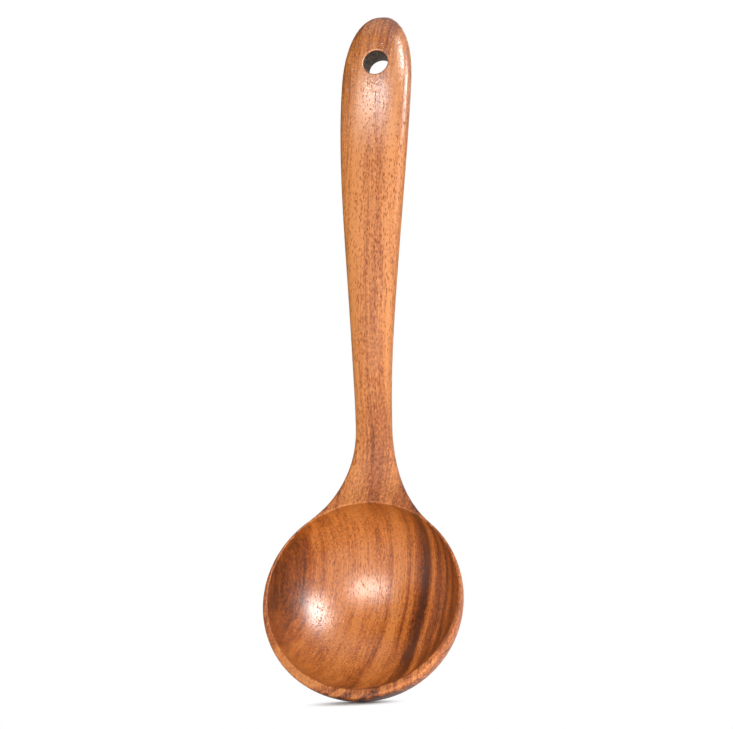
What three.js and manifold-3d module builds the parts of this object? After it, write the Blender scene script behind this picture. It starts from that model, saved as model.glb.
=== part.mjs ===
// Wooden ladle: a deep round bowl on the end of a flat handle that can hang from a hook.
//
// Millimetres, +Z up along the handle, the bowl's mouth facing -Y, X across.
// The origin is the centre of the hanging hole.
//
// The body follows one spine in the YZ plane. It runs up the rim plane of the bowl, bends forward
// through the neck, stands upright through the grip and curves back at the tip. Distances along the
// spine are counted from the bowl's centre. At each of them the section has a half width, a front
// that rises above the spine and a back that lies behind it.
//
// Bowl and handle part at the narrowest section of the neck, where their flat ends meet.

import * as THREE from 'three';
import { mergeVertices } from 'three/addons/utils/BufferGeometryUtils.js';
import Module from 'manifold-3d';

// Bowl
const BOWL_DIAMETER = 80; // outside, at the rim
const BOWL_DEPTH = 35.5; // outside, from the rim plane to the back
const RIM_WIDTH = 1.8; // wood at the sides of the mouth
const LIP_WIDTH = 4.2; // wood at the far lip
const MOUTH_BELOW_TOP = 0.6; // the mouth starts this far below the top of the rim
const FLOOR_THICKNESS = 3.5; // wood behind the deepest point
const RIM_TILT = 20.4; // degrees that the mouth looks up

// Neck
const NECK_WIDTH = 14.4;
const NECK_THICKNESS = 13.7; // where the back of the bowl has run out into the neck
const NECK_RISE = 69; // bowl centre to the narrowest section
const NECK_LEAN = 3.8; // degrees that the neck leans forward above the bend
const BEND_BELOW_RIM = 8; // the bend starts this far below the top of the rim
const BEND_PAST_NECK = 3.2; // and ends this far above the narrowest section
const FLAT_BELOW_RIM = 2; // the flat of the rim plane ends this far below the top of the rim
const ROUNDING_RUN = 60; // length over which that flat becomes the rounded grip

// Handle
const HANDLE_LENGTH = 166.5; // narrowest section to the tip, along the spine
const GRIP_WIDTH = 28.2;
const GRIP_THICKNESS = 12;
const GRIP_CROWN = 4.4; // the front's rise above the widest line
const END_THICKNESS = 11; // at the hanging hole
const END_CROWN = 4;
const WIDEST_FROM_TIP = 29.9;
const TIP_ROUNDING = 12; // length over which the thickness runs out to the tip
const TIP_SQUARENESS = 2.21; // power of the curve that rounds the tip, 2 being an ellipse
const LEAN_RUN = 50; // length over which the neck's lean comes back upright
const TIP_LEAN = 25; // degrees that the very tip leans back
const TIP_CURVE_RUN = 133.8; // length of the stretch that curves back
const TIP_CURVE_POWER = 2.48; // how late in that stretch the curve comes
const GRIP_SQUARENESS = 2.6; // power of the grip's rounded section

// Hanging hole
const HOLE_DIAMETER = 10;
const HOLE_FROM_TIP = 21.5;
const CUT_PAST = 4; // how far a cutting solid stands out of the wood

// Fineness of the surfaces
const SECTION_POINTS = 44;
const BOWL_SECTIONS = 22;
const FLARE_SECTIONS = 11;
const HANDLE_SECTIONS = 36;
const CAVITY_SEGMENTS = 48;
const CAVITY_STEPS = 14;
const HOLE_SEGMENTS = 32;
const SPINE_STEP = 0.5;

const BOWL_COLOUR = '#8f4e27';
const HANDLE_COLOUR = '#a8642f';
const OILED_WOOD = { roughness: 0.42, metalness: 0 };

// Derived sizes
const BOWL_RADIUS = BOWL_DIAMETER / 2;
const MOUTH_HALF = BOWL_RADIUS - RIM_WIDTH;
const MOUTH_LENGTH = BOWL_DIAMETER - LIP_WIDTH - MOUTH_BELOW_TOP;
const MOUTH_SHIFT = (LIP_WIDTH - MOUTH_BELOW_TOP) / 2;
const CAVITY_DEPTH = BOWL_DEPTH - FLOOR_THICKNESS;
const NECK_HALF = NECK_WIDTH / 2;
const GRIP_HALF = GRIP_WIDTH / 2;
const TIP = NECK_RISE + HANDLE_LENGTH;
const WIDEST = TIP - WIDEST_FROM_TIP;
const HOLE = TIP - HOLE_FROM_TIP;
const BEND_START = BOWL_RADIUS - BEND_BELOW_RIM;
const BEND_END = NECK_RISE + BEND_PAST_NECK;
const FLAT_END = BOWL_RADIUS - FLAT_BELOW_RIM;

// The flare is an arc that touches the bowl's circle and the neck's side at its narrowest section.
// The back of the bowl runs into the neck on an arc that leaves the bowl at the same place.
const FLARE_RADIUS = (NECK_RISE ** 2 + NECK_HALF ** 2 - BOWL_RADIUS ** 2) / (2 * (BOWL_RADIUS - NECK_HALF));
const FLARE_COS = NECK_RISE / (BOWL_RADIUS + FLARE_RADIUS);
const FLARE_SIN = Math.sqrt(1 - FLARE_COS ** 2);
const FLARE_START = BOWL_RADIUS * FLARE_COS;
const DEPTH_RATIO = BOWL_DEPTH / BOWL_RADIUS;
const NECK_BACK = NECK_THICKNESS / DEPTH_RATIO;
const BACK_RADIUS = (BOWL_RADIUS * FLARE_SIN - NECK_BACK) / (1 - FLARE_SIN);
const BACK_END = (BOWL_RADIUS + BACK_RADIUS) * FLARE_COS;

const wasm = await Module();
wasm.setup();

function ease(from, to, at) {
  return THREE.MathUtils.smoothstep(at, from, to);
}

// Drop of a circle's arc below its highest line, at a distance from the middle
function arcRise(radius, distance) {
  return radius - Math.sqrt(Math.max(radius ** 2 - distance ** 2, 0));
}

function bowlCircle(at) {
  return Math.sqrt(Math.max(BOWL_RADIUS ** 2 - at ** 2, 0));
}

// Share of the way from the flat neck to the rounded grip
function rounding(at) {
  return ease(FLAT_END, FLAT_END + ROUNDING_RUN, at);
}

// Lean of the spine in radians, positive where it runs back on its way up
function lean(at) {
  const bend = (RIM_TILT + NECK_LEAN) * ease(BEND_START, BEND_END, at);
  const upright = NECK_LEAN * ease(BEND_END, BEND_END + LEAN_RUN, at);
  const share = THREE.MathUtils.clamp((at - TIP + TIP_CURVE_RUN) / TIP_CURVE_RUN, 0, 1);
  return THREE.MathUtils.degToRad(RIM_TILT - bend + upright + TIP_LEAN * share ** TIP_CURVE_POWER);
}

function spinePoint(at) {
  const steps = Math.max(1, Math.ceil(Math.abs(at) / SPINE_STEP));
  const step = at / steps;
  const point = new THREE.Vector3();
  for (let i = 0; i < steps; i += 1) {
    const angle = lean((i + 0.5) * step);
    point.y += Math.sin(angle) * step;
    point.z += Math.cos(angle) * step;
  }
  return point;
}

// Direction in which the front of the section faces
function frontNormal(at) {
  const angle = lean(at);
  return new THREE.Vector3(0, -Math.cos(angle), Math.sin(angle));
}

function halfWidth(at) {
  if (at <= FLARE_START) return bowlCircle(at);
  if (at <= NECK_RISE) return NECK_HALF + arcRise(FLARE_RADIUS, NECK_RISE - at);
  if (at <= WIDEST) return NECK_HALF + (GRIP_HALF - NECK_HALF) * ease(NECK_RISE, WIDEST, at);
  const share = (at - WIDEST) / WIDEST_FROM_TIP;
  return GRIP_HALF * Math.max(1 - share ** TIP_SQUARENESS, 0) ** (1 / TIP_SQUARENESS);
}

// How far the rounded end has thinned the handle, 1 before it starts
function endThinning(at) {
  const share = THREE.MathUtils.clamp((at - TIP + TIP_ROUNDING) / TIP_ROUNDING, 0, 1);
  return Math.sqrt(1 - share ** 2);
}

// A size of the grip that changes evenly up to the hanging hole and runs out at the tip
function alongGrip(grip, end, at) {
  return THREE.MathUtils.lerp(grip, end, ease(BEND_END + LEAN_RUN, HOLE, at)) * endThinning(at);
}

function frontRise(at) {
  return alongGrip(GRIP_CROWN, END_CROWN, at) * rounding(at);
}

function bowlBack(at) {
  if (at <= FLARE_START) return DEPTH_RATIO * bowlCircle(at);
  if (at <= BACK_END) return NECK_THICKNESS + DEPTH_RATIO * arcRise(BACK_RADIUS, BACK_END - at);
  return NECK_THICKNESS;
}

function backDepth(at) {
  const gripBack = alongGrip(GRIP_THICKNESS - GRIP_CROWN, END_THICKNESS - END_CROWN, at);
  return THREE.MathUtils.lerp(bowlBack(at), gripBack, rounding(at));
}

function section(at) {
  const centre = spinePoint(at);
  const front = frontNormal(at);
  const width = halfWidth(at);
  const power = 2 / THREE.MathUtils.lerp(2, GRIP_SQUARENESS, rounding(at));
  const points = [];
  for (let i = 0; i < SECTION_POINTS; i += 1) {
    const angle = (i / SECTION_POINTS) * 2 * Math.PI;
    const across = width * Math.sign(Math.cos(angle)) * Math.abs(Math.cos(angle)) ** power;
    const reach = Math.sin(angle) > 0 ? frontRise(at) : backDepth(at);
    const out = reach * Math.sign(Math.sin(angle)) * Math.abs(Math.sin(angle)) ** power;
    points.push(centre.clone().addScaledVector(front, out).setX(across));
  }
  return points;
}

// Closed body through sections that follow each other up the spine, with a point at each end
function loft(sections, bottom, top) {
  const count = SECTION_POINTS;
  const positions = [...sections.flat(), bottom, top].flatMap((point) => point.toArray());
  const low = sections.length * count;
  const high = low + 1;
  const indices = [];
  for (let j = 0; j < count; j += 1) {
    const k = (j + 1) % count;
    const last = (sections.length - 1) * count;
    indices.push(low, j, k, high, last + k, last + j);
    for (let i = 0; i < sections.length - 1; i += 1) {
      const here = i * count;
      const above = here + count;
      indices.push(here + j, above + j, above + k, here + j, above + k, here + k);
    }
  }
  const geometry = new THREE.BufferGeometry();
  geometry.setAttribute('position', new THREE.Float32BufferAttribute(positions, 3));
  geometry.setIndex(indices);
  return geometry;
}

function toManifold(geometry) {
  const bare = geometry.clone();
  bare.deleteAttribute('normal');
  bare.deleteAttribute('uv');
  const merged = mergeVertices(bare, 1e-4);
  const index = merged.index.array;
  const triangles = [];
  for (let i = 0; i < index.length; i += 3) {
    const [a, b, c] = index.slice(i, i + 3);
    if (a !== b && b !== c && c !== a) triangles.push(a, b, c);
  }
  const mesh = new wasm.Mesh({
    numProp: 3,
    vertProperties: new Float32Array(merged.attributes.position.array),
    triVerts: new Uint32Array(triangles),
  });
  return new wasm.Manifold(mesh);
}

function cut(geometry, cutter) {
  const mesh = toManifold(geometry).subtract(toManifold(cutter)).getMesh();
  const result = new THREE.BufferGeometry();
  result.setAttribute('position', new THREE.Float32BufferAttribute(mesh.vertProperties, 3));
  result.setIndex(new THREE.Uint32BufferAttribute(mesh.triVerts, 1));
  result.computeVertexNormals();
  return result;
}

// Turns a shape made round +Y so that its axis points out of the front, and sets it on the spine
function facingFront(geometry, at) {
  const turn = new THREE.Quaternion().setFromUnitVectors(new THREE.Vector3(0, 1, 0), frontNormal(at));
  return geometry.applyQuaternion(turn).translate(...spinePoint(at).toArray());
}

// Sections of the bowl from its far rim to the flare, then up the flare to the narrowest place
function bowlSections() {
  const stations = [];
  const sweep = Math.PI - Math.acos(FLARE_COS);
  for (let i = 1; i <= BOWL_SECTIONS; i += 1) {
    stations.push(-BOWL_RADIUS * Math.cos((sweep * i) / BOWL_SECTIONS));
  }
  for (let i = 1; i <= FLARE_SECTIONS; i += 1) {
    stations.push(THREE.MathUtils.lerp(FLARE_START, NECK_RISE, i / FLARE_SECTIONS));
  }
  return stations.map(section);
}

// Sections of the handle, closer together towards the round tip
function handleSections() {
  const stations = [];
  for (let i = 0; i < HANDLE_SECTIONS; i += 1) {
    stations.push(NECK_RISE + HANDLE_LENGTH * Math.sin((Math.PI / 2) * (i / HANDLE_SECTIONS)));
  }
  return stations.map(section);
}

// The turned hollow, drawn in a little along the spine because the far lip is thicker than the sides
function cavity() {
  const profile = [];
  for (let i = 0; i <= CAVITY_STEPS; i += 1) {
    const angle = (Math.PI / 2) * (i / CAVITY_STEPS);
    profile.push(new THREE.Vector2(MOUTH_HALF * Math.sin(angle), -CAVITY_DEPTH * Math.cos(angle)));
  }
  profile.push(new THREE.Vector2(MOUTH_HALF, CUT_PAST), new THREE.Vector2(0, CUT_PAST));
  const hollow = new THREE.LatheGeometry(profile, CAVITY_SEGMENTS);
  return facingFront(hollow.scale(1, 1, MOUTH_LENGTH / (2 * MOUTH_HALF)), MOUTH_SHIFT);
}

function hangingHole() {
  const radius = HOLE_DIAMETER / 2;
  const length = END_THICKNESS + 2 * CUT_PAST;
  return facingFront(new THREE.CylinderGeometry(radius, radius, length, HOLE_SEGMENTS), HOLE);
}

function bowl() {
  const body = loft(bowlSections(), spinePoint(-BOWL_RADIUS), spinePoint(NECK_RISE));
  const material = new THREE.MeshStandardMaterial({ color: BOWL_COLOUR, ...OILED_WOOD });
  const mesh = new THREE.Mesh(cut(body, cavity()), material);
  mesh.name = 'bowl';
  return mesh;
}

function handle() {
  const body = loft(handleSections(), spinePoint(NECK_RISE), spinePoint(TIP));
  const material = new THREE.MeshStandardMaterial({ color: HANDLE_COLOUR, ...OILED_WOOD });
  const mesh = new THREE.Mesh(cut(body, hangingHole()), material);
  mesh.name = 'handle';
  return mesh;
}

const ladle = new THREE.Group();
ladle.name = 'ladle';
ladle.add(bowl(), handle());
ladle.position.copy(spinePoint(HOLE)).negate();

export default ladle;
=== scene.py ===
"""Wooden ladle in a plain studio.

A ladle carved from one billet of acacia: a deep turned bowl, a flared neck and a flat grip that
hangs from a hole. The surface is worked out in the ladle's own coordinates, which are across,
along the spine counted from the bowl's centre, and out of the front, and is then placed in the
part's frame, in metres. The grain is one solid pattern, so it runs unbroken through both pieces.
"""

import math

import bmesh
import bpy
import numpy as np
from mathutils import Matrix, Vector


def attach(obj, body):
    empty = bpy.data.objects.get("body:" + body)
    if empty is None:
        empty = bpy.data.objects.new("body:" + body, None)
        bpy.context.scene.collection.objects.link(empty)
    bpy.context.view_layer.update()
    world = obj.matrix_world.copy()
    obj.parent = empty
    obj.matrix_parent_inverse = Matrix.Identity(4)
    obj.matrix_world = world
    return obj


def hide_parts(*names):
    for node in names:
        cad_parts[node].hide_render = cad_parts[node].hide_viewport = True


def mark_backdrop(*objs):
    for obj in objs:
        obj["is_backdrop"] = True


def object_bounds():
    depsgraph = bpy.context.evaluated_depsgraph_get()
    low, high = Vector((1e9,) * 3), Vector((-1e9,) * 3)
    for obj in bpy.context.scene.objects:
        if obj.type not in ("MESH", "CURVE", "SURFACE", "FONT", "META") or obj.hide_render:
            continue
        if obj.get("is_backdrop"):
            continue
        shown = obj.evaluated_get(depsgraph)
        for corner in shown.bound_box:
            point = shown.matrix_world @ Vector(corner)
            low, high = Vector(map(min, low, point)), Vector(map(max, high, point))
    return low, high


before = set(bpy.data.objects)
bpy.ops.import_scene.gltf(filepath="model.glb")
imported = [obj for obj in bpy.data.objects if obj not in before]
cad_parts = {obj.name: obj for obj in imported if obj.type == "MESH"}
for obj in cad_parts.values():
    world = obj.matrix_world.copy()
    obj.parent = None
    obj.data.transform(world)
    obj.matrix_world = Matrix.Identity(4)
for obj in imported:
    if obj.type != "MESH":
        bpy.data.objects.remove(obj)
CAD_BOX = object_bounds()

bl_info = {
    "name": "Wooden Ladle",
    "version": (1, 0, 0),
    "blender": (4, 5, 0),
    "location": "3D View > Sidebar > Ladle",
    "description": "Carves a wooden ladle round its packed frame and lights it in a plain studio",
    "category": "Object",
}

# Fineness of the meshes, as counts
FRONT_HALF = 32  # columns from the middle of the front to its edge
EDGE_STEPS = 8  # steps over a sanded edge
BACK_HALF = 40  # columns from the edge to the middle of the back
NECK_STATIONS = 70  # sections from the bowl's centre to the joint
LOW_MERIDIANS = 110  # steps round the lower half of the rim
FACE_ROWS = 24  # rows from the rim's outer edge to the mouth
CAVITY_ROWS = 46  # rows from the mouth to the deepest point
LIP_SANDED = 5  # rows of the mouth's round that are sanded, before the turned ones
HANDLE_STATIONS = 140  # sections from the joint to the tip
HOLE_COLUMNS = 12  # columns left out on each side of the hole
HOLE_ROWS = 6  # rows from those columns to the hole
WALL_ROWS = 10  # rows down the hole's wall

FRONT_COUNT = 2 * FRONT_HALF + 1
BACK_MIDDLE = FRONT_COUNT - 1 + EDGE_STEPS + BACK_HALF
SECTION_COUNT = FRONT_COUNT + 2 * BACK_HALF + 1 + 2 * (EDGE_STEPS - 1)
EDGE_SHARES = np.linspace(0, 1, EDGE_STEPS + 1)

# Lengths of the meshes, in metres
SPINE_STEP = 0.0005
HOLE_REACH = 0.0078  # half the height of the window round the hole
NEAR_JOINT = 0.0001  # last section before the joint, which keeps the shading square there
WELD = 0.0000015

# Limits of the sanded rounds on thin wood, as shares of it
SMALLEST_EDGE = 0.3  # of the section's width or depth
RIM_EDGE = 0.45  # of the rim, at its outer edge
RIM_LIP = 0.75  # of what is left of the rim, at the mouth


def linear(code):
    """Linear red, green and blue of an sRGB hex colour"""
    channels = [int(code[i:i + 2], 16) / 255 for i in (1, 3, 5)]
    return tuple(c / 12.92 if c <= 0.04045 else ((c + 0.055) / 1.055) ** 2.4 for c in channels)


def length(name, description, millimetres):
    """A length that a user can change"""
    return bpy.props.FloatProperty(
        name=name, description=description, default=millimetres / 1000, unit="LENGTH", precision=4
    )


def angle(name, description, degrees):
    """An angle that a user can change"""
    return bpy.props.FloatProperty(
        name=name, description=description, default=math.radians(degrees), subtype="ANGLE"
    )


def plain(name, description, value):
    """A number that a user can change"""
    return bpy.props.FloatProperty(name=name, description=description, default=value, precision=3)


def colour(name, description, code):
    """A colour that a user can change"""
    return bpy.props.FloatVectorProperty(
        name=name, description=description, default=linear(code), subtype="COLOR", min=0, max=1
    )


def wattage(name, description, watts):
    """A lamp's power that a user can change"""
    return bpy.props.FloatProperty(name=name, description=description, default=watts, unit="POWER")


class LadleSizes(bpy.types.PropertyGroup):
    """Sizes of the carved ladle"""

    bowl_diameter: length("Bowl diameter", "Outside, at the rim", 1000 * (CAD_BOX[1] - CAD_BOX[0]).x)
    bowl_depth: length("Bowl depth", "Outside, from the rim plane to the back", 35.5)
    rim_width: length("Rim width", "Wood at the sides of the mouth", 1.8)
    lip_width: length("Lip width", "Wood at the far lip", 4.2)
    mouth_below_top: length("Mouth below top", "Start of the mouth below the top of the rim", 0.6)
    floor_thickness: length("Floor thickness", "Wood behind the deepest point", 3.5)
    rim_tilt: angle("Rim tilt", "How far the mouth looks up", 20.4)
    neck_width: length("Neck width", "At the narrowest section", 14.4)
    neck_thickness: length("Neck thickness", "Where the bowl's back has run out", 13.7)
    neck_rise: length("Neck rise", "Bowl centre to the narrowest section", 69)
    neck_lean: angle("Neck lean", "Forward lean of the neck above the bend", 3.8)
    bend_below_rim: length("Bend below rim", "Start of the bend below the top of the rim", 8)
    bend_past_neck: length("Bend past neck", "End of the bend above the narrowest section", 3.2)
    flat_below_rim: length("Flat below rim", "End of the flat below the top of the rim", 2)
    rounding_run: length("Rounding run", "Length over which the flat becomes the grip", 60)
    handle_length: length("Handle length", "Narrowest section to the tip", 166.5)
    grip_width: length("Grip width", "At its widest", 28.2)
    grip_thickness: length("Grip thickness", "Along the grip", 12)
    grip_crown: length("Grip crown", "Rise of the front above the widest line", 4.4)
    end_thickness: length("End thickness", "At the hanging hole", 11)
    end_crown: length("End crown", "Rise of the front at the hanging hole", 4)
    widest_from_tip: length("Widest from tip", "Place of the grip's widest section", 29.9)
    tip_rounding: length("Tip rounding", "Length over which the thickness runs out", 12)
    tip_squareness: plain("Tip squareness", "Power of the curve that rounds the tip", 2.21)
    lean_run: length("Lean run", "Length over which the neck's lean comes upright", 50)
    tip_lean: angle("Tip lean", "Backward lean of the very tip", 25)
    tip_curve_run: length("Tip curve run", "Length of the stretch that curves back", 133.8)
    tip_curve_power: plain("Tip curve power", "How late in that stretch the curve comes", 2.48)
    grip_squareness: plain("Grip squareness", "Power of the grip's rounded section", 2.6)
    hole_diameter: length("Hole diameter", "Hanging hole", 10)
    hole_from_tip: length("Hole from tip", "Centre of the hanging hole below the tip", 21.5)
    edge_round: length("Edge round", "Sanded round of the outer edges", 1.2)
    lip_round: length("Lip round", "Sanded round of the mouth's edge", 0.8)
    lip_edge_round: length("Lip edge round", "Sanded round of the far lip's outer edge", 2.2)
    grip_round: length("Grip round", "Sanded round of the grip's edges", 2.4)
    hole_round: length("Hole round", "Sanded round of the hole's edges", 0.6)


class LadleWood(bpy.types.PropertyGroup):
    """Colours and grain of the wood"""

    pale: colour("Pale wood", "Light streaks", "#e08f4c")
    warm: colour("Warm wood", "Most of the wood", "#cf7c3a")
    brown: colour("Brown wood", "Darker streaks", "#ac5c26")
    # The dark stripes on the bowl's right wall are partly painted shade.
    dark: colour("Dark stripe", "Heartwood stripes on the right", "#50260f")
    pore: colour("Pore", "Open pores filled with oil", "#7a2406")
    drilled: colour("Drilled wood", "Lighter wood in the hole", "#6b5238")
    # Painted shade: this near-black colour stands for the shade inside the hanging hole.
    hole_shade: colour("Burnt wood", "Wood in the hole browned by the drill", "#201711")
    stripe_width: length("Streak width", "Growth streak to growth streak", 3.2)
    pore_spacing: length("Pore spacing", "Pore to pore across the grain", 0.65)
    pore_length: length("Pore length", "Length of one open pore along the grain", 3)
    fibre_width: length("Fibre width", "Fibre streak to fibre streak", 0.5)


class LadleStudio(bpy.types.PropertyGroup):
    """Camera, lamps and floor"""

    target: bpy.props.FloatVectorProperty(
        name="Camera target",
        description="Point at the middle of the picture",
        default=(0.0055, -0.0366, -0.1196),
        subtype="TRANSLATION",
    )
    azimuth: angle("Camera azimuth", "Camera's turn to the right of the ladle's front", 15.45)
    elevation: angle("Camera elevation", "Camera's height as an angle", -1.22)
    distance: length("Camera distance", "Camera to its target", 1120)
    lens: plain("Lens", "Focal length in millimetres on a 36 mm wide sensor", 143.2)
    floor: colour("Floor", "Plain pale floor", "#f4f4f2")
    cloth: colour("Curtain", "Black cloth out of the picture", "#272727")
    room: colour("Room", "White room behind the floor", "#ffffff")
    key_power: wattage("Key lamp", "Softbox in front", 12)
    fill_power: wattage("Fill lamps", "Large softboxes at the right and behind", 3)
    bounce_power: wattage("Table bounce", "Bright patch on the floor that lights the bowl", 280)
    gleam_power: wattage("Bowl gleam", "Softbox that shows in the bowl's floor", 13)
    side_power: wattage("Side gleam", "Softbox that shows in the bowl's left wall", 15)
    tip_power: wattage("Tip gleam", "Narrow lamps that show in the handle's end", 24)
    room_light: plain("Room light", "Even light from the room", 0.18)


def ease(start, end, at):
    """Share of the way from start to end, smooth at both"""
    share = np.clip((at - start) / (end - start), 0, 1)
    return share * share * (3 - 2 * share)


def mix(low, high, share):
    """Value at a share of the way from low to high"""
    return low + (high - low) * share


def arc_rise(radius, distance):
    """Drop of a circle's arc below its highest line, at a distance from the middle"""
    return radius - np.sqrt(np.maximum(radius**2 - distance**2, 0))


def crown(share, power):
    """Height of a rounded section at a share of its half width, 1 in the middle"""
    return np.maximum(1 - np.abs(share) ** power, 0) ** (1 / power)


def bend(first, corner, last, share):
    """Points of a sanded edge at shares of the way from first to last, drawn towards their corner"""
    return (1 - share) ** 2 * first + 2 * share * (1 - share) * corner + share**2 * last


class LadleForm:
    """The carved surface, worked out from its sizes"""

    def __init__(self, sizes):
        self.sizes = sizes
        self.radius = sizes.bowl_diameter / 2
        self.mouth_across = self.radius - sizes.rim_width
        self.mouth_along = self.radius - (sizes.lip_width + sizes.mouth_below_top) / 2
        self.mouth_shift = (sizes.lip_width - sizes.mouth_below_top) / 2
        self.cavity_depth = sizes.bowl_depth - sizes.floor_thickness
        self.neck = sizes.neck_rise
        self.neck_half = sizes.neck_width / 2
        self.grip_half = sizes.grip_width / 2
        self.tip = self.neck + sizes.handle_length
        self.widest = self.tip - sizes.widest_from_tip
        self.hole = self.tip - sizes.hole_from_tip
        self.bend_start = self.radius - sizes.bend_below_rim
        self.bend_end = self.neck + sizes.bend_past_neck
        self.upright = self.bend_end + sizes.lean_run
        self.flat_end = self.radius - sizes.flat_below_rim
        self.measure_flare()
        self.measure_spine()

    def measure_flare(self):
        """The flare's arc touches the bowl's circle and the neck, and the back runs out beside it"""
        reach = self.neck**2 + self.neck_half**2 - self.radius**2
        self.flare_radius = reach / (2 * (self.radius - self.neck_half))
        cosine = self.neck / (self.radius + self.flare_radius)
        sine = math.sqrt(1 - cosine**2)
        self.flare_start = self.radius * cosine
        self.depth_ratio = self.sizes.bowl_depth / self.radius
        neck_back = self.sizes.neck_thickness / self.depth_ratio
        self.back_radius = (self.radius * sine - neck_back) / (1 - sine)
        self.back_end = (self.radius + self.back_radius) * cosine

    def measure_spine(self):
        """Height and depth of the spine, summed up from its lean in small steps, 0 at the hole"""
        steps = round((self.tip + self.radius) / SPINE_STEP) + 2
        middles = -self.radius + (np.arange(steps) + 0.5) * SPINE_STEP
        lean = self.lean(middles)
        self.spine_at = -self.radius + np.arange(steps + 1) * SPINE_STEP
        self.spine_y = np.concatenate([[0], np.cumsum(np.sin(lean)) * SPINE_STEP])
        self.spine_z = np.concatenate([[0], np.cumsum(np.cos(lean)) * SPINE_STEP])
        self.spine_y -= np.interp(self.hole, self.spine_at, self.spine_y)
        self.spine_z -= np.interp(self.hole, self.spine_at, self.spine_z)

    def lean(self, at):
        """Lean of the spine in radians, positive where it runs back on its way up"""
        s = self.sizes
        forward = (s.rim_tilt + s.neck_lean) * ease(self.bend_start, self.bend_end, at)
        upright = s.neck_lean * ease(self.bend_end, self.upright, at)
        share = np.clip((at - self.tip + s.tip_curve_run) / s.tip_curve_run, 0, 1)
        return s.rim_tilt - forward + upright + s.tip_lean * share**s.tip_curve_power

    def place(self, across, at, out):
        """Points in the part's frame"""
        lean = self.lean(at)
        y = np.interp(at, self.spine_at, self.spine_y) - out * np.cos(lean)
        z = np.interp(at, self.spine_at, self.spine_z) + out * np.sin(lean)
        return np.stack(np.broadcast_arrays(across, y, z), axis=-1)

    def rounding(self, at):
        """Share of the way from the flat neck to the rounded grip"""
        return ease(self.flat_end, self.flat_end + self.sizes.rounding_run, at)

    def power(self, at):
        """Power of the rounded section: 2 for an ellipse at the bowl, squarer at the grip"""
        return mix(2, self.sizes.grip_squareness, self.rounding(at))

    def half_width(self, at):
        """Half the width: the bowl's circle, the flare, the grip and its rounded end"""
        circle = np.sqrt(np.maximum(self.radius**2 - at**2, 0))
        flare = self.neck_half + arc_rise(self.flare_radius, self.neck - at)
        grip = mix(self.neck_half, self.grip_half, ease(self.neck, self.widest, at))
        share = np.clip((at - self.widest) / (self.tip - self.widest), 0, 1)
        end = self.grip_half * crown(share, self.sizes.tip_squareness)
        stretches = [at <= self.flare_start, at <= self.neck, at <= self.widest]
        return np.select(stretches, [circle, flare, grip], end)

    def along_grip(self, grip, end, at):
        """A size that changes evenly up to the hanging hole and runs out at the tip"""
        share = np.clip((at - self.tip) / self.sizes.tip_rounding + 1, 0, 1)
        return mix(grip, end, ease(self.upright, self.hole, at)) * np.sqrt(1 - share**2)

    def rise(self, at):
        """Rise of the front above the widest line"""
        return self.along_grip(self.sizes.grip_crown, self.sizes.end_crown, at) * self.rounding(at)

    def depth(self, at):
        """Depth of the back behind the widest line"""
        s = self.sizes
        circle = self.depth_ratio * np.sqrt(np.maximum(self.radius**2 - at**2, 0))
        runout = s.neck_thickness + self.depth_ratio * arc_rise(self.back_radius, self.back_end - at)
        stretches = [at <= self.flare_start, at <= self.back_end]
        bowl = np.select(stretches, [circle, runout], s.neck_thickness)
        grip = self.along_grip(s.grip_thickness - s.grip_crown, s.end_thickness - s.end_crown, at)
        return mix(bowl, grip, self.rounding(at))

    def front(self, across, at):
        """Height of the front above the widest line"""
        return self.rise(at) * crown(across / self.half_width(at), self.power(at))

    def back(self, across, at):
        """Height of the back, which lies below the widest line"""
        return -self.depth(at) * crown(across / self.half_width(at), self.power(at))

    def mouth(self, turn):
        """Distance from the oval mouth's centre to its edge, at a turn away from the neck"""
        return 1 / np.hypot(np.sin(turn) / self.mouth_across, np.cos(turn) / self.mouth_along)

    def past_mouth(self, across, at):
        """Turn of a point about the mouth's centre, and its distance outside the mouth's edge"""
        along = at - self.mouth_shift
        turn = np.arctan2(across, along)
        return turn, np.hypot(across, along) - self.mouth(turn)

    def side_edge(self, at):
        """Sanded round of the sides, smaller on the thin rim and at the handle's end"""
        width = self.half_width(at)
        _, rim = self.past_mouth(width, at)
        edge = mix(self.sizes.edge_round, self.sizes.grip_round, self.rounding(at))
        thin = SMALLEST_EDGE * np.minimum(width, self.depth(at))
        return np.minimum(np.minimum(edge, RIM_EDGE * rim), thin)

    def lip_edge(self, turn):
        """Sanded round of the bowl's lower rim, fuller where the lip is thicker"""
        _, rim = self.past_mouth(self.radius * np.sin(turn), self.radius * np.cos(turn))
        return np.minimum(self.sizes.lip_edge_round, RIM_EDGE * rim)

    def lower_rim(self, turn):
        """Outside of the bowl's lower half at turns about its axis: distance from the axis and height"""
        across, out = self.sections(np.zeros(len(turn)), self.lip_edge(turn))
        half = slice(FRONT_COUNT - 1, BACK_MIDDLE + 1)
        return across[:, half], out[:, half]

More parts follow.
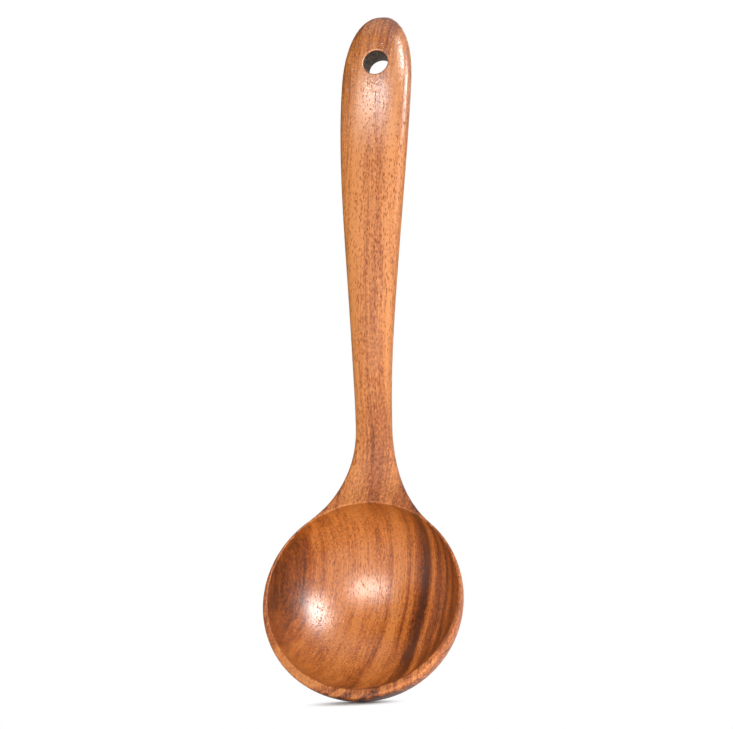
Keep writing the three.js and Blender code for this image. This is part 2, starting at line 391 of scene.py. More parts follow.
    def sections(self, at, edge):
        """Closed sections: across and out, from the front's left edge over the right and the back"""
        at, edge = at[:, None], edge[:, None]
        width, depth, power = self.half_width(at), self.depth(at), self.power(at)
        front_across = (width - edge) * np.sin(np.linspace(0, math.pi / 2, FRONT_HALF + 1))
        front_out = self.front(front_across, at)
        first_turn = np.arcsin((edge / depth) ** (power / 2))
        turn = mix(first_turn, math.pi / 2, np.linspace(0, 1, BACK_HALF + 1))
        back_across = width * np.abs(np.cos(turn)) ** (2 / power)
        back_out = -depth * np.sin(turn) ** (2 / power)
        first = front_across[:, -1:], front_out[:, -1:]
        last = back_across[:, :1], back_out[:, :1]
        corner = self.edge_corner(at, edge, first, last)
        edges = [bend(*points, EDGE_SHARES[1:-1]) for points in zip(first, corner, last)]
        right = np.concatenate([front_across, edges[0], back_across], 1)
        right_out = np.concatenate([front_out, edges[1], back_out], 1)
        across = np.concatenate([-right[:, FRONT_HALF:0:-1], right, -right[:, -2:FRONT_HALF:-1]], 1)
        out = [right_out[:, FRONT_HALF:0:-1], right_out, right_out[:, -2:FRONT_HALF:-1]]
        return across, np.concatenate(out, 1)

    def edge_corner(self, at, edge, first, last):
        """Corner where the slopes of the front's end and the back's start meet"""
        width, depth, power = self.half_width(at), self.depth(at), self.power(at)
        share = first[0] / width
        slope = -self.rise(at) / width * share ** (power - 1) * (1 - share**power) ** (1 / power - 1)
        run = width / depth * (edge / depth * width / last[0]) ** (power - 1)
        across = (last[0] + run * (first[1] - last[1] - slope * first[0])) / (1 - slope * run)
        return across, first[1] + slope * (across - first[0])


def add_grid(bm, points, closed=False, skip=None, material=0):
    """Adds rows of points as a sheet of smooth faces, leaving out the cells in skip"""
    rows, columns = points.shape[:2]
    verts = [[bm.verts.new(p) for p in row] for row in points]
    for i in range(rows - 1):
        for j in range(columns if closed else columns - 1):
            if skip is not None and skip[i, j]:
                continue
            k = (j + 1) % columns
            face = bm.faces.new((verts[i][j], verts[i][k], verts[i + 1][k], verts[i + 1][j]))
            face.smooth = True
            face.material_index = material


def make_object(name, bm, materials):
    """Turns a mesh into an object of the scene"""
    mesh = bpy.data.meshes.new(name)
    bm.to_mesh(mesh)
    bm.free()
    for material in materials:
        mesh.materials.append(material)
    made = bpy.data.objects.new(name, mesh)
    bpy.context.scene.collection.objects.link(made)
    return made


def make_piece(name, bm, node, materials):
    """Welds the sheets into one closed piece that stands for its node"""
    bmesh.ops.remove_doubles(bm, verts=bm.verts, dist=WELD)
    bmesh.ops.recalc_face_normals(bm, faces=bm.faces)
    # The flat end at the joint has the most corners, and its edge stays sharp
    joint_face = max(bm.faces, key=lambda face: len(face.verts))
    for edge in joint_face.edges:
        edge.smooth = False
    open_edges = [e for e in bm.edges if not e.is_manifold]
    if open_edges:
        raise RuntimeError(f"{name} isn't closed: {len(open_edges)} open edges")
    piece = make_object(name, bm, materials)
    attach(piece, "root")
    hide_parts(node)


def add_joint_face(bm, form):
    """Flat end of a piece at the narrowest section of the neck"""
    joint = np.array([form.neck])
    across, out = form.sections(joint, form.side_edge(joint))
    points = form.place(across[0], np.full(SECTION_COUNT, form.neck), out[0])
    bm.faces.new([bm.verts.new(p) for p in points])


def add_bowl_outside(bm, form, stations):
    """Neck and upper half as sections, lower half turned about the bowl's axis"""
    across, out = form.sections(stations, form.side_edge(stations))
    sides = np.arange(FRONT_COUNT - 1, SECTION_COUNT + 1) % SECTION_COUNT
    add_grid(bm, form.place(across[:, sides], stations[:, None], out[:, sides]))
    turn = np.linspace(math.pi / 2, 3 * math.pi / 2, LOW_MERIDIANS + 1)
    radius, level = form.lower_rim(turn)
    turn = turn[:, None]
    add_grid(bm, form.place(radius * np.sin(turn), radius * np.cos(turn), level))


def bowl_face_outline(form, stations):
    """Outer edge of the front face: up the right side, along the joint, down the left, round the rim"""
    across, _ = form.sections(stations, form.side_edge(stations))
    right = np.stack([across[:, FRONT_COUNT - 1], stations], 1)
    top = np.stack([across[-1, FRONT_COUNT - 2:0:-1], np.full(FRONT_COUNT - 2, form.neck)], 1)
    left = np.stack([across[::-1, 0], stations[::-1]], 1)
    turn = np.linspace(3 * math.pi / 2, math.pi / 2, LOW_MERIDIANS + 1)[1:-1]
    radius, _ = form.lower_rim(turn)
    rim = radius[:, :1] * np.stack([np.sin(turn), np.cos(turn)], 1)
    return np.concatenate([right, top, left, rim])


def add_bowl_face(bm, form, stations):
    """Front face from the outline to the mouth, then over the lip and down the cavity"""
    outline = bowl_face_outline(form, stations)
    turn, rim = form.past_mouth(outline[:, 0], outline[:, 1])
    mouth = form.mouth(turn)
    lip = np.minimum(form.sizes.lip_round, RIM_LIP * rim)
    around = np.stack([np.sin(turn), np.cos(turn)], 1)
    share = np.linspace(0, 1, FACE_ROWS + 1)[:, None, None]
    face = mix(outline, (mouth + lip)[:, None] * around + (0, form.mouth_shift), share)
    face_out = form.front(face[..., 0], face[..., 1])
    add_grid(bm, form.place(face[..., 0], face[..., 1], face_out), closed=True)
    first_angle = math.asin(form.sizes.lip_round / form.cavity_depth)
    angles = np.linspace(first_angle, math.pi / 2, CAVITY_ROWS + 1)[:, None]
    wall = mouth * np.cos(angles)
    wall_out = np.broadcast_to(-form.cavity_depth * np.sin(angles), wall.shape)
    shares = EDGE_SHARES[1:-1, None]
    over = bend(mouth + lip, mouth, wall[0], shares)
    over_out = bend(face_out[-1], 0, wall_out[0], shares)
    radius = np.concatenate([[mouth + lip], over, wall])
    level = np.concatenate([face_out[-1:], over_out, wall_out])
    points = form.place(radius * around[:, 0], form.mouth_shift + radius * around[:, 1], level)
    add_grid(bm, points[:LIP_SANDED], closed=True)
    add_grid(bm, points[LIP_SANDED - 1:], closed=True, material=1)


def carve_bowl(sizes, wood):
    """The bowl with its flared neck: sanded outside, turned inside"""
    form = LadleForm(sizes)
    stations = np.linspace(0, form.neck, NECK_STATIONS)
    stations = np.sort(np.append(stations, form.neck - NEAR_JOINT))
    bm = bmesh.new()
    add_bowl_outside(bm, form, stations)
    add_bowl_face(bm, form, stations)
    add_joint_face(bm, form)
    materials = [acacia_sanded(wood), acacia_turned(wood)]
    make_piece("ladle_bowl", bm, "bowl", materials)


def window_border(first, last):
    """Rows and columns round the window left for the hole, columns counted from the middle"""
    rows = np.arange(first, last)
    columns = np.arange(-HOLE_COLUMNS, HOLE_COLUMNS)
    path = [(first, j) for j in columns] + [(i, HOLE_COLUMNS) for i in rows]
    path += [(last, j) for j in columns[::-1] + 1] + [(i, -HOLE_COLUMNS) for i in rows[::-1] + 1]
    return np.array(path).T


def add_hole(bm, form, at, across, first, last):
    """The hanging hole: faces round it on both sides, rounded edges and the wall between"""
    radius, soft = form.sizes.hole_diameter / 2, form.sizes.hole_round
    rows, columns = window_border(first, last)
    turn = np.arctan2(across[rows, FRONT_HALF + columns], at[rows] - form.hole)
    lean_change = form.lean(form.hole + SPINE_STEP) - form.lean(form.hole - SPINE_STEP)
    curve = lean_change / (2 * SPINE_STEP)

    def on_axis(size, out):
        """Across and along of points at a distance from the hole's straight axis"""
        return size * np.sin(turn), form.hole + size * np.cos(turn) / (1 + curve * out)

    share = np.linspace(0, 1, HOLE_ROWS + 1)[:, None]
    rims, insides, rounds = [], [], []
    for middle, way, surface in ((FRONT_HALF, 1, form.front), (BACK_MIDDLE, -1, form.back)):
        wide = on_axis(radius + soft, surface(*on_axis(radius + soft, 0)))
        face = mix(across[rows, middle + way * columns], wide[0], share), mix(at[rows], wide[1], share)
        add_grid(bm, form.place(*face, surface(*face)), closed=True)
        level = surface(*wide)
        corner = surface(*on_axis(radius, level))
        rims.append(form.place(*wide, level))
        insides.append(corner - way * soft)
        rounds.append(bend(level, corner, insides[-1], EDGE_SHARES[:, None]))
    wall = mix(*insides, np.linspace(0, 1, WALL_ROWS + 1)[1:-1, None])
    levels = np.concatenate([rounds[0], wall, rounds[1][::-1]])
    narrowing = bend(radius + soft, radius, radius, EDGE_SHARES[:, None])
    reach = np.concatenate([narrowing, np.full((len(wall), 1), radius), narrowing[::-1]])
    points = form.place(*on_axis(reach, levels), levels)
    points[0], points[-1] = rims
    add_grid(bm, points[:EDGE_STEPS], closed=True)
    add_grid(bm, points[EDGE_STEPS - 1:1 - EDGE_STEPS], closed=True, material=1)
    add_grid(bm, points[-EDGE_STEPS:], closed=True)


def carve_handle(sizes, wood):
    """The handle with its hanging hole: sanded outside, drilled inside"""
    form = LadleForm(sizes)
    steps = np.sin(np.linspace(0, math.pi / 2, HANDLE_STATIONS + 1)[:-1])
    stations = form.neck + sizes.handle_length * steps
    stations = np.sort(np.append(stations, form.neck + NEAR_JOINT))
    across, out = form.sections(stations, form.side_edge(stations))
    points = form.place(across, stations[:, None], out)
    tip = np.broadcast_to(form.place(0, form.tip, 0), (1, SECTION_COUNT, 3))
    near_hole = np.flatnonzero(np.abs(stations - form.hole) < HOLE_REACH)
    first, last = near_hole[0], near_hole[-1]
    skip = np.zeros((len(stations), SECTION_COUNT), bool)
    for middle in (FRONT_HALF, BACK_MIDDLE):
        skip[first:last, middle - HOLE_COLUMNS:middle + HOLE_COLUMNS] = True
    bm = bmesh.new()
    add_grid(bm, np.concatenate([points, tip]), closed=True, skip=skip)
    add_hole(bm, form, stations, across, first, last)
    add_joint_face(bm, form)
    materials = [acacia_sanded(wood), acacia_drilled(wood)]
    make_piece("ladle_handle", bm, "handle", materials)


def add(tree, kind, inputs=None, stops=None, **settings):
    """Adds a shader node with its settings, its colour stops and its inputs

    An input is a value, an output to link, or a node that stands for its first output.
    """
    made = tree.nodes.new("ShaderNode" + kind)
    for name, value in settings.items():
        setattr(made, name, value)
    for socket, value in (inputs or {}).items():
        if isinstance(value, bpy.types.Node):
            value = value.outputs[0]
        if isinstance(value, bpy.types.NodeSocket):
            tree.links.new(value, made.inputs[socket])
        else:
            made.inputs[socket].default_value = value
    if stops:
        elements = made.color_ramp.elements
        while len(elements) < len(stops):
            elements.new(1)
        for element, (position, shade) in zip(elements, stops):
            element.position = position
            element.color = (*shade, 1)
    return made


def new_material(name):
    """A material without nodes, and its tree"""
    material = bpy.data.materials.new(name)
    material.use_nodes = True
    material.node_tree.nodes.clear()
    return material, material.node_tree


# Growth layers: millimetres across them, then 0 for pale to 1 for dark.
# The dark heartwood lies at the start of the list, which is the right side of the ladle.
# The values at both ends are partly painted shade: they also darken the bowl's steep side walls, where
# shade falls.
STRIPES_AND_WALL_SHADE = (
    (-57, 0.7), (-53.5, 0.5), (-51.5, 0.8), (-49, 0.4), (-47, 0.75), (-45, 0.45),
    (-43, 0.8), (-41, 0.5), (-39.5, 0.15), (-38.2, 0.3), (-37, 0.9), (-35, 0.95),
    (-33.5, 0.75), (-32, 0.5), (-30, 0.25), (-28, 0.38), (-23.5, 0.03), (-21.5, 0.08),
    (-19.3, 0.34), (-17, 0.3), (-14, 0.2), (-8, 0.05), (-5.5, 0.2), (-3, 0.14),
    (1, 0.18), (4, 0.26), (7, 0.24), (10, 0.44), (13, 0.58), (17, 0.68),
)
LAYERS_START = -60  # millimetres across the layers, where the stripes' ramp begins
LAYERS_SPAN = 80  # millimetres that the ramp covers

# How the billet lies in the ladle
LAYER_TURN = 0.15  # the layers turn this far sideways for each length backwards
FIBRE_SLOPE = 0.12  # how far the fibre runs forwards on its way up
FIBRE_RISE = 0.99  # and how far up
LAYER_FOOT = (-0.26, -0.0228)  # height, and shift of the layers there, in metres
LAYER_TOP = (-0.15, -0.01275)  # the same above the bowl, from where the layers run upright

# Slow drift of the layers, in millimetres
DRIFT = 5  # most that a layer strays
DRIFT_SIZE = (24, 24, 140)  # size of one stray across, through and along the grain

# The noises of the shade have this mean together, and the wood is a trace paler than it
MEAN_SHADE = 1.5
PALER = 0.03

# Knotted grain at the foot of the bowl: dark patches that cross the lip
KNOT_SIZE = (3, 30, 14)  # millimetres
KNOT_SLANT = math.radians(-50)
KNOT_DARK = 0.8
KNOT_HEIGHT = (-0.2475, -0.243)  # metres, from full to none
KNOT_EDGE = (0.42, 0.62)  # levels of the noise where a patch begins and is full

# Pores, with their widths as shares of the distance from one to the next
CROWDING = (0.35, 0.65)  # levels of the noise where pores are finest and coarsest
PORE_WIDTH = (0.2, 0.5)  # width at those levels
PORE_CORE = 0.1  # width that is fully dark
GRIP_PORES = 0.8  # darkness of the pores in the grip
PORE_SUNK = -1.5  # depth of a pore against the grit's height
PORE_DULL = 0.6  # roughness that a pore adds
BUMP = 0.4

# Heights in metres between which the finish changes
BOWL_TO_NECK = (-0.176, -0.152)  # stripes, weaker on the sanded bowl
BOWL_TO_GRIP = (-0.19, -0.15)  # pores, fainter in the bowl
GRIP_TO_END = (-0.036, -0.008)  # gloss, higher where hands have polished the end
NECK_HEIGHT = -0.163  # middle of the deeper colour on the neck
NECK_REACH = (0.008, 0.034)  # distances from it with all and with none of that colour


class AcaciaGrain:
    """Nodes that draw the grain of the billet: layers, streaks, fibres and pores, in millimetres"""

    def __init__(self, tree, wood):
        self.tree = tree
        self.wood = wood
        place = add(tree, "TexCoord")
        self.normal = place.outputs["Normal"]
        split = add(tree, "SeparateXYZ", {0: place.outputs["Object"]})
        self.x, self.y, self.z = split.outputs
        self.grain = self.place_in_billet()
        self.drifted = self.with_drift()
        # Size of each noise across the layers, through them and along the fibre, and its detail.
        # The real grit of the sanding is finer: it is drawn at 0.8 mm so that it shows.
        sizes = {
            "streak": (1000 * wood.stripe_width, 16, 140, 4),
            "fine": (0.8, 6, 50, 3),
            "thread": (1000 * wood.fibre_width, 0.6, 8, 2),
            "crowd": (3.5, 8, 40, 2),
            "grit": (0.8, 0.8, 1.2, 1),
        }
        self.noise = {}
        for kind, (across, through, along, detail) in sizes.items():
            stretch = {0: self.drifted, 1: (1 / across, 1 / through, 1 / along)}
            at = add(tree, "VectorMath", stretch, operation="MULTIPLY")
            drawn = {"Vector": at, "Scale": 1, "Detail": detail, "Roughness": 0.6}
            self.noise[kind] = add(tree, "TexNoise", drawn)

    def place_in_billet(self):
        """Millimetres across the growth layers, through them and along the fibre"""
        (low, low_shift), (high, high_shift) = LAYER_FOOT, LAYER_TOP
        change = {"From Min": low, "From Max": high, "To Min": low_shift, "To Max": high_shift}
        shift = add(self.tree, "MapRange", {"Value": self.z, **change})
        turned = {0: self.y, 1: LAYER_TURN, 2: shift}
        turned = add(self.tree, "Math", turned, operation="MULTIPLY_ADD")
        layer = add(self.tree, "Math", {0: turned, 1: self.x}, operation="SUBTRACT")
        through = {0: self.z, 1: FIBRE_SLOPE, 2: self.y}
        through = add(self.tree, "Math", through, operation="MULTIPLY_ADD")
        axes = add(self.tree, "CombineXYZ", {0: layer, 1: through, 2: self.z})
        return add(self.tree, "VectorMath", {0: axes, "Scale": 1000}, operation="SCALE")

    def with_drift(self):
        """The same places, drawn aside so that the layers wander"""
        scale = tuple(1 / size for size in DRIFT_SIZE)
        at = add(self.tree, "VectorMath", {0: self.grain, 1: scale}, operation="MULTIPLY")
        drift = add(self.tree, "TexNoise", {"Vector": at, "Scale": 1, "Detail": 3})
        moved = {0: drift.outputs["Color"], 1: (DRIFT, DRIFT, 0), 2: self.grain}
        return add(self.tree, "VectorMath", moved, operation="MULTIPLY_ADD")

    def by_height(self, heights, low, high):
        """Inputs for a value that changes evenly between two heights"""
        first, last = heights
        return {"Value": self.z, "From Min": first, "From Max": last, "To Min": low, "To Max": high}

    def draw_bands_and_wall_shade(self):
        """Shade of the growth layers, with painted shade on the bowl's side walls from both ends of the
        list; the drift moves them by half its size on average
        """
        across = add(self.tree, "SeparateXYZ", {0: self.drifted})
        first = LAYERS_START + DRIFT / 2
        ramp = {"Value": across, "From Min": first, "From Max": first + LAYERS_SPAN}
        share = add(self.tree, "MapRange", ramp)
        stops = [((at - LAYERS_START) / LAYERS_SPAN, (shade,) * 3) for at, shade in STRIPES_AND_WALL_SHADE]
        return add(self.tree, "ValToRGB", {"Fac": share}, stops=stops)

    def draw_knots(self):
        """Dark slanted patches at the foot of the bowl"""
        slanted = {"Vector": self.grain, "Rotation": (0, KNOT_SLANT, 0), "Scale": KNOT_SIZE}
        slanted = add(self.tree, "Mapping", slanted, vector_type="TEXTURE")
        knots = add(self.tree, "TexNoise", {"Vector": slanted, "Scale": 1, "Detail": 1})
        strength = add(self.tree, "MapRange", self.by_height(KNOT_HEIGHT, KNOT_DARK, 0))
        first, full = KNOT_EDGE
        patches = {"Value": knots, "From Min": first, "From Max": full, "To Min": 0, "To Max": strength}
        return add(self.tree, "MapRange", patches)

    def draw_ends(self, end_shade, neck_shade):
        """Base of the shade: end grain soaks up more oil, and the neck is drawn darker"""
        fibre = Vector((0, -FIBRE_SLOPE, FIBRE_RISE)).normalized()
        facing = add(self.tree, "VectorMath", {0: self.normal, 1: fibre}, operation="DOT_PRODUCT")
        ends = add(self.tree, "Math", {0: facing.outputs["Value"], 1: 2}, operation="POWER")
        from_neck = add(self.tree, "Math", {0: self.z, 1: NECK_HEIGHT}, operation="SUBTRACT")
        from_neck = add(self.tree, "Math", {0: from_neck}, operation="ABSOLUTE")
        level = -MEAN_SHADE - PALER
        near, far = NECK_REACH
        change = {"From Min": near, "From Max": far, "To Min": level + neck_shade, "To Max": level}
        base = add(self.tree, "MapRange", {"Value": from_neck, **change})
        return add(self.tree, "Math", {0: ends, 1: end_shade, 2: base}, operation="MULTIPLY_ADD")

    def draw_wood(self, bowl_stripes, end_shade, neck_shade):
        """Colour of the wood between its pores"""
        stripes = add(self.tree, "MapRange", self.by_height(BOWL_TO_NECK, bowl_stripes, 1))
        shade = self.draw_ends(end_shade, neck_shade)
        for value, weight in (
            (self.draw_bands_and_wall_shade(), stripes),
            (self.draw_knots(), 1),
            (self.noise["streak"], 1),
            (self.noise["fine"], 0.8),
            (self.noise["thread"], 0.4),
            (self.noise["grit"], 0.8),
        ):
            darker = {0: value, 1: weight, 2: shade}
            shade = add(self.tree, "Math", darker, operation="MULTIPLY_ADD")
        wood = self.wood
        stops = [(0, wood.pale), (0.2, wood.warm), (0.45, wood.brown), (0.85, wood.dark)]
        return add(self.tree, "ValToRGB", {"Fac": shade}, stops=stops)

    def draw_pores(self, bowl_pores):
        """Open pores, wider where they crowd; 0.65 mm apart so that they show, finer in real wood"""
        spacing, run = 1000 * self.wood.pore_spacing, 1000 * self.wood.pore_length
        stretch = {0: self.grain, 1: (1 / spacing, 1 / spacing, 1 / run)}
        at = add(self.tree, "VectorMath", stretch, operation="MULTIPLY")
        cells = add(self.tree, "TexVoronoi", {"Vector": at, "Scale": 1})
        (fine, coarse), (narrow, wide) = CROWDING, PORE_WIDTH
        crowd = {"From Min": fine, "From Max": coarse, "To Min": narrow, "To Max": wide}
        width = add(self.tree, "MapRange", {"Value": self.noise["crowd"], **crowd})
        filled = self.by_height(BOWL_TO_GRIP, bowl_pores, GRIP_PORES)
        filled = add(self.tree, "MapRange", filled)
        pores = {"Value": cells, "From Min": PORE_CORE, "From Max": width, "To Min": filled, "To Max": 0}
        return add(self.tree, "MapRange", pores)


def acacia(name, wood, *, roughness, specular, stripes, pores, relief, end_shade, neck_shade, saturation):
    """Oiled acacia, with the shader's own IOR of 1.5, which oil on wood has too

    Roughness and specular level are given for the grip and for the handle's end, stripes and pores
    as their strength in the bowl, relief in metres, and end and neck shade as what they darken.
    """
    if name in bpy.data.materials:
        return bpy.data.materials[name]
    material, tree = new_material(name)
    grain = AcaciaGrain(tree, wood)
    toned = grain.draw_wood(stripes, end_shade, neck_shade)
    pore = grain.draw_pores(pores)
    shown = add(tree, "Mix", {0: pore, 6: toned, 7: (*wood.pore, 1)}, data_type="RGBA")
    tinted = add(tree, "HueSaturation", {"Saturation": saturation, "Color": shown.outputs[2]})
    sunk = {0: pore, 1: PORE_SUNK, 2: grain.noise["grit"]}
    height = add(tree, "Math", sunk, operation="MULTIPLY_ADD")
    bump = add(tree, "Bump", {"Strength": BUMP, "Distance": relief, "Height": height})
    gloss = {"Roughness": roughness, "Specular IOR Level": specular}
    for socket, (grip, end) in gloss.items():
        gloss[socket] = grip
        if end != grip:
            gloss[socket] = add(tree, "MapRange", grain.by_height(GRIP_TO_END, grip, end))
    dulled = {0: pore, 1: PORE_DULL, 2: gloss["Roughness"]}
    gloss["Roughness"] = add(tree, "Math", dulled, operation="MULTIPLY_ADD")
    shader = add(tree, "BsdfPrincipled", {"Base Color": tinted, "Normal": bump, **gloss})
    add(tree, "OutputMaterial", {"Surface": shader})
    return material


def acacia_sanded(wood):
    """Acacia carved, sanded to a fine grit and oiled

    The eye sees a soft satin sheen that turns glossy at the handle's end, open pores as short dark
    lines along the grain, and darker wood where the fibres end.
    """
    return acacia(
        "acacia_carved_sanded_oiled", wood, roughness=(0.5, 0.285), specular=(0.4, 1), stripes=0.55,
        pores=0.5, relief=0.00012, end_shade=0.5, neck_shade=0.17, saturation=0.99,
    )


def acacia_turned(wood):
    """Acacia turned on a lathe, burnished with its shavings and oiled

    The eye sees soft bright reflections in the cavity, a smoother face with shallower pores, and the
    growth layers at full strength.
    """
    return acacia(
        "acacia_turned_burnished_oiled", wood, roughness=(0.31, 0.31), specular=(1, 1), stripes=1,
        pores=0.65, relief=0.00008, end_shade=0.08, neck_shade=0, saturation=1.02,
    )


def acacia_drilled(wood):
    """Acacia on the wall of the drilled hole

    The wall is matt and nearly black, with lighter spots about 1 mm wide. The near black is painted
    shade, for the shade that falls inside the hole.
    spots about 1 mm wide.
    """
    spots_per_metre = 900  # one in 1.1 mm
    material, tree = new_material("acacia_drilled_painted_shade")
    place = add(tree, "TexCoord")
    spots = {"Vector": place.outputs["Object"], "Scale": spots_per_metre, "Detail": 2}
    spots = add(tree, "TexNoise", spots)
    # The near-black stop is painted shade inside the hole.
    stops = [(0.4, wood.hole_shade), (0.65, wood.drilled)]
    shade = add(tree, "ValToRGB", {"Fac": spots}, stops=stops)
    shader = add(tree, "BsdfPrincipled", {"Base Color": shade, "Roughness": 0.7})
    add(tree, "OutputMaterial", {"Surface": shader})
    return material


# The stage, in metres and degrees
FLOOR_RADIUS = 3
FLOOR_CORNERS = 96
CONTACT = (0, -0.033, 0)  # where the bowl stands on the floor
SHADOW_SIZE = (0.012, 0.024, 1)  # the floor shows its shadow this far from the contact
SHADOW_TURN = math.radians(-40)
SHADOW_CORE = 0.2  # share of that size with the full shadow
FLOOR_LIFT = 0.01  # light that keeps the darkest shadow from going black
CURTAIN_RADIUS = 2.2
CURTAIN_ARC = (-170, 60)
CURTAIN_COLUMNS = 48
CURTAIN_DROP = 0.4
CURTAIN_RISE = 3
SENSOR_WIDTH = 36  # millimetres
MIDDLE = (0, 0, -0.16)  # targets of the lamps
BOWL = (0, 0, -0.21)
SHEEN = (0, 0, -0.016)
TIP_EDGE = (0.011, 0, 0.005)
TABLE = (0.1, -0.03, CAD_BOX[0].z)


def softbox(width, height):
    """Kind and settings of a rectangular softbox"""
    return "AREA", {"shape": "RECTANGLE", "size": width, "size_y": height}


def beam(spread, blend, radius):
    """Kind and settings of a narrow lamp: its angle, how soft its border is, and its own radius"""
    return "SPOT", {"spot_size": math.radians(spread), "spot_blend": blend, "shadow_soft_size": radius}


# Lamps: target, azimuth, elevation and distance, the power's name and factor, kind and settings,
# and the rays it is hidden from. A gleam is only seen in the gloss, and the key lamp never there.
LAMPS = {
    "key": (MIDDLE, 14, 10, 1.25, "key_power", 1, softbox(0.6, 0.5), "visible_glossy"),
    "side_fill": (MIDDLE, 85, 2, 1.1, "fill_power", 1.3, softbox(0.6, 0.6), None),
    "back_fill": (MIDDLE, 190, 30, 1.3, "fill_power", 2, softbox(1, 0.8), None),
    "table_bounce": (TABLE, 100, 60, 1, "bounce_power", 1, beam(5, 0.6, 0.05), None),
    "floor_gleam": (BOWL, -1, 2, 1.2, "gleam_power", 1, softbox(0.74, 0.46), "visible_diffuse"),
    "wall_gleam": (BOWL, 60, 27, 1.2, "side_power", 1, softbox(0.44, 0.58), "visible_diffuse"),
    "tip_gleam": (SHEEN, -15, 24, 1.2, "tip_power", 1, beam(3.2, 1, 0.01), "visible_diffuse"),
    "edge_gleam": (TIP_EDGE, 24, 43, 1.2, "tip_power", 1.2, beam(1.8, 1, 0.01), "visible_diffuse"),
}


def rays_to_eye(tree):
    """1 for rays from the eye, straight or by gloss or glass, and 0 for light between surfaces"""
    ray = add(tree, "LightPath")
    seen = ray.outputs["Is Camera Ray"]
    for kind in ("Is Glossy Ray", "Is Transmission Ray"):
        seen = add(tree, "Math", {0: seen, 1: ray.outputs[kind]}, operation="MAXIMUM")
    return seen


def painted_floor(studio):
    """Plywood painted matt white: keeps the shadow under the bowl and runs out into the white room"""
    material, tree = new_material("plywood_painted_matt_white")
    seen = rays_to_eye(tree)
    place = add(tree, "TexCoord")
    patch = {
        "Vector": place.outputs["Object"],
        "Location": CONTACT,
        "Rotation": (0, 0, SHADOW_TURN),
        "Scale": SHADOW_SIZE,
    }
    patch = add(tree, "Mapping", patch, vector_type="TEXTURE")
    away = add(tree, "VectorMath", {0: patch}, operation="LENGTH")
    fade = {"Value": away.outputs["Value"], "From Min": SHADOW_CORE, "From Max": 1}
    fade = add(tree, "MapRange", fade, interpolation_type="SMOOTHSTEP")
    far = add(tree, "Math", {0: fade, 1: seen}, operation="MULTIPLY")
    paint = add(tree, "BsdfDiffuse", {"Color": (*studio.floor, 1)})
    lift = add(tree, "Math", {0: seen, 1: FLOOR_LIFT}, operation="MULTIPLY")
    lifted = add(tree, "Emission", {"Strength": lift})
    near = add(tree, "AddShader", {0: paint, 1: lifted})
    white = add(tree, "Emission", {"Strength": 1})
    shown = add(tree, "MixShader", {0: far, 1: near, 2: white})
    add(tree, "OutputMaterial", {"Surface": shown})
    return material


def black_cotton(studio):
    """Cotton cloth dyed black: matt, so nearly nothing of it shows in the gloss"""
    material, tree = new_material("cotton_black_cloth")
    cloth = add(tree, "BsdfDiffuse", {"Color": (*studio.cloth, 1)})
    add(tree, "OutputMaterial", {"Surface": cloth})
    return material


def add_floor(studio, height):
    """A round floor under the ladle"""
    bpy.ops.mesh.primitive_circle_add(
        vertices=FLOOR_CORNERS, radius=FLOOR_RADIUS, fill_type="NGON", location=(0, 0, height)
    )
    floor = bpy.context.object
    floor.name = "floor"
    floor.data.materials.append(painted_floor(studio))
    return floor


def add_curtain(studio):
    """Black cloth round the table, out of the picture, that keeps the white room out of the gloss"""
    turn = np.radians(np.linspace(*CURTAIN_ARC, CURTAIN_COLUMNS))
    arc = CURTAIN_RADIUS * np.stack([np.sin(turn), -np.cos(turn), np.zeros(CURTAIN_COLUMNS)], 1)
    bm = bmesh.new()
    add_grid(bm, np.stack([arc - (0, 0, CURTAIN_DROP), arc + (0, 0, CURTAIN_RISE)]))
    curtain = make_object("curtain", bm, [black_cotton(studio)])
    curtain.visible_camera = False
    curtain.visible_diffuse = False
    curtain.visible_shadow = False
    return curtain


def set_room(studio):
    """Even room light, with a white background for the eye and for reflections"""
    world = bpy.data.worlds.new("studio_room")
    bpy.context.scene.world = world
    world.use_nodes = True
    tree = world.node_tree
    tree.nodes.clear()
    seen = rays_to_eye(tree)
    room = add(tree, "Background", {"Strength": studio.room_light})
    white = add(tree, "Background", {"Color": (*studio.room, 1), "Strength": 1})
    shown = add(tree, "MixShader", {0: seen, 1: room, 2: white})
    add(tree, "OutputWorld", {"Surface": shown})


def add_aimed(name, data, target, azimuth, elevation, distance):
    """Adds a lamp or camera that looks at its target; azimuth 0 is the front, positive to the right"""
    level = math.cos(elevation)
    way = Vector((math.sin(azimuth) * level, -math.cos(azimuth) * level, math.sin(elevation)))
    made = bpy.data.objects.new(name, data)
    made.location = Vector(target) + distance * way
    made.rotation_mode = "QUATERNION"
    made.rotation_quaternion = (-way).to_track_quat("-Z", "Y")
    bpy.context.scene.collection.objects.link(made)
    return made


def add_lamps(studio):
    """The lamps of the studio"""
    for name, (target, azimuth, elevation, distance, watts, factor, lamp, hidden) in LAMPS.items():
        kind, settings = lamp
        data = bpy.data.lights.new(name, kind)
        data.energy = factor * getattr(studio, watts)
        for setting, value in settings.items():
            setattr(data, setting, value)
        turn, height = math.radians(azimuth), math.radians(elevation)
        holder = add_aimed(name, data, target, turn, height, distance)
        if hidden:
            setattr(holder, hidden, False)


def add_camera(studio):
    """The camera, at the height and turn of the studio's settings"""
    camera = bpy.data.cameras.new("camera")
    camera.lens = studio.lens
    camera.sensor_width = SENSOR_WIDTH
    bpy.context.scene.camera = add_aimed(
        "camera", camera, studio.target, studio.azimuth, studio.elevation, studio.distance
    )


class LADLE_OT_carve_bowl(bpy.types.Operator):
    """Carves the bowl with its flared neck"""

    bl_idname = "ladle.carve_bowl"
    bl_label = "Carve bowl"

    def execute(self, context):
        carve_bowl(context.scene.ladle_sizes, context.scene.ladle_wood)
        return {"FINISHED"}


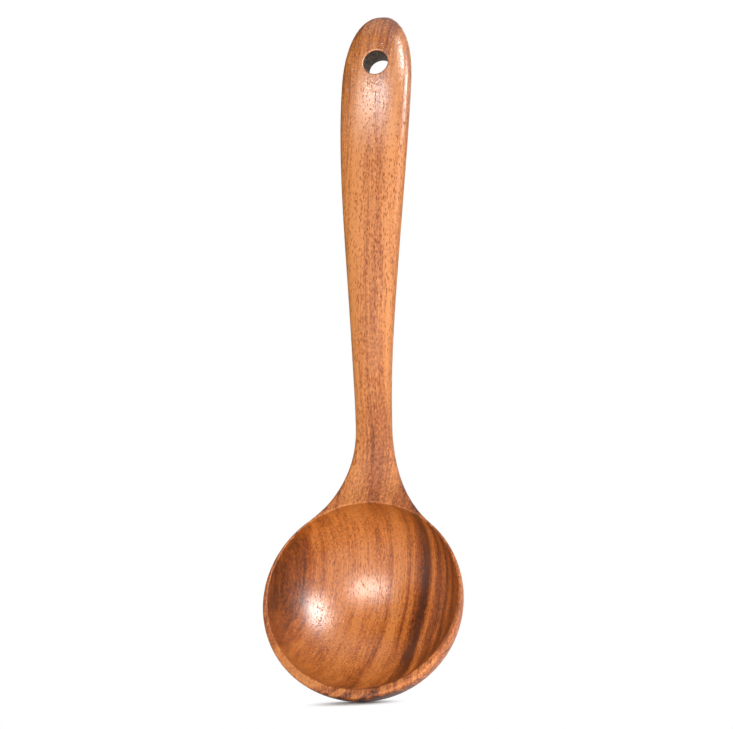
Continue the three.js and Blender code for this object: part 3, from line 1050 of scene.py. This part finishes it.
class LADLE_OT_carve_handle(bpy.types.Operator):
    """Carves the handle with its hanging hole"""

    bl_idname = "ladle.carve_handle"
    bl_label = "Carve handle"

    def execute(self, context):
        carve_handle(context.scene.ladle_sizes, context.scene.ladle_wood)
        return {"FINISHED"}


class LADLE_OT_set_stage(bpy.types.Operator):
    """Sets the floor, the lamps, the room and the camera"""

    bl_idname = "ladle.set_stage"
    bl_label = "Set stage"

    def execute(self, context):
        studio = context.scene.ladle_studio
        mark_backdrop(add_floor(studio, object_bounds()[0].z))
        add_lamps(studio)
        add_curtain(studio)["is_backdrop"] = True
        set_room(studio)
        add_camera(studio)
        context.scene.view_settings.view_transform = "Standard"
        return {"FINISHED"}


class LADLE_PT_sidebar(bpy.types.Panel):
    """Lists the ladle's pieces, its stage and what can be changed"""

    bl_label = "Wooden Ladle"
    bl_idname = "LADLE_PT_sidebar"
    bl_space_type = "VIEW_3D"
    bl_region_type = "UI"
    bl_category = "Ladle"

    def draw(self, context):
        for operator in OPERATORS:
            self.layout.operator(operator.bl_idname)
        for group in GROUPS:
            settings = getattr(context.scene, group)
            for name in settings.bl_rna.properties.keys():
                if name not in ("rna_type", "name"):
                    self.layout.prop(settings, name)


OPERATORS = (LADLE_OT_carve_bowl, LADLE_OT_carve_handle, LADLE_OT_set_stage)
GROUPS = {"ladle_sizes": LadleSizes, "ladle_wood": LadleWood, "ladle_studio": LadleStudio}
CLASSES = (*GROUPS.values(), *OPERATORS, LADLE_PT_sidebar)


def register():
    """Adds the classes and the scene's settings to Blender"""
    for cls in CLASSES:
        bpy.utils.register_class(cls)
    for name, group in GROUPS.items():
        setattr(bpy.types.Scene, name, bpy.props.PointerProperty(type=group))


def unregister():
    """Takes the scene's settings and the classes out of Blender again"""
    for name in GROUPS:
        delattr(bpy.types.Scene, name)
    for cls in reversed(CLASSES):
        bpy.utils.unregister_class(cls)


def main():
    """Makes the ladle and its stage"""
    register()
    bpy.ops.ladle.carve_bowl()
    bpy.ops.ladle.carve_handle()
    bpy.ops.ladle.set_stage()


if __name__ == "__main__":
    main()
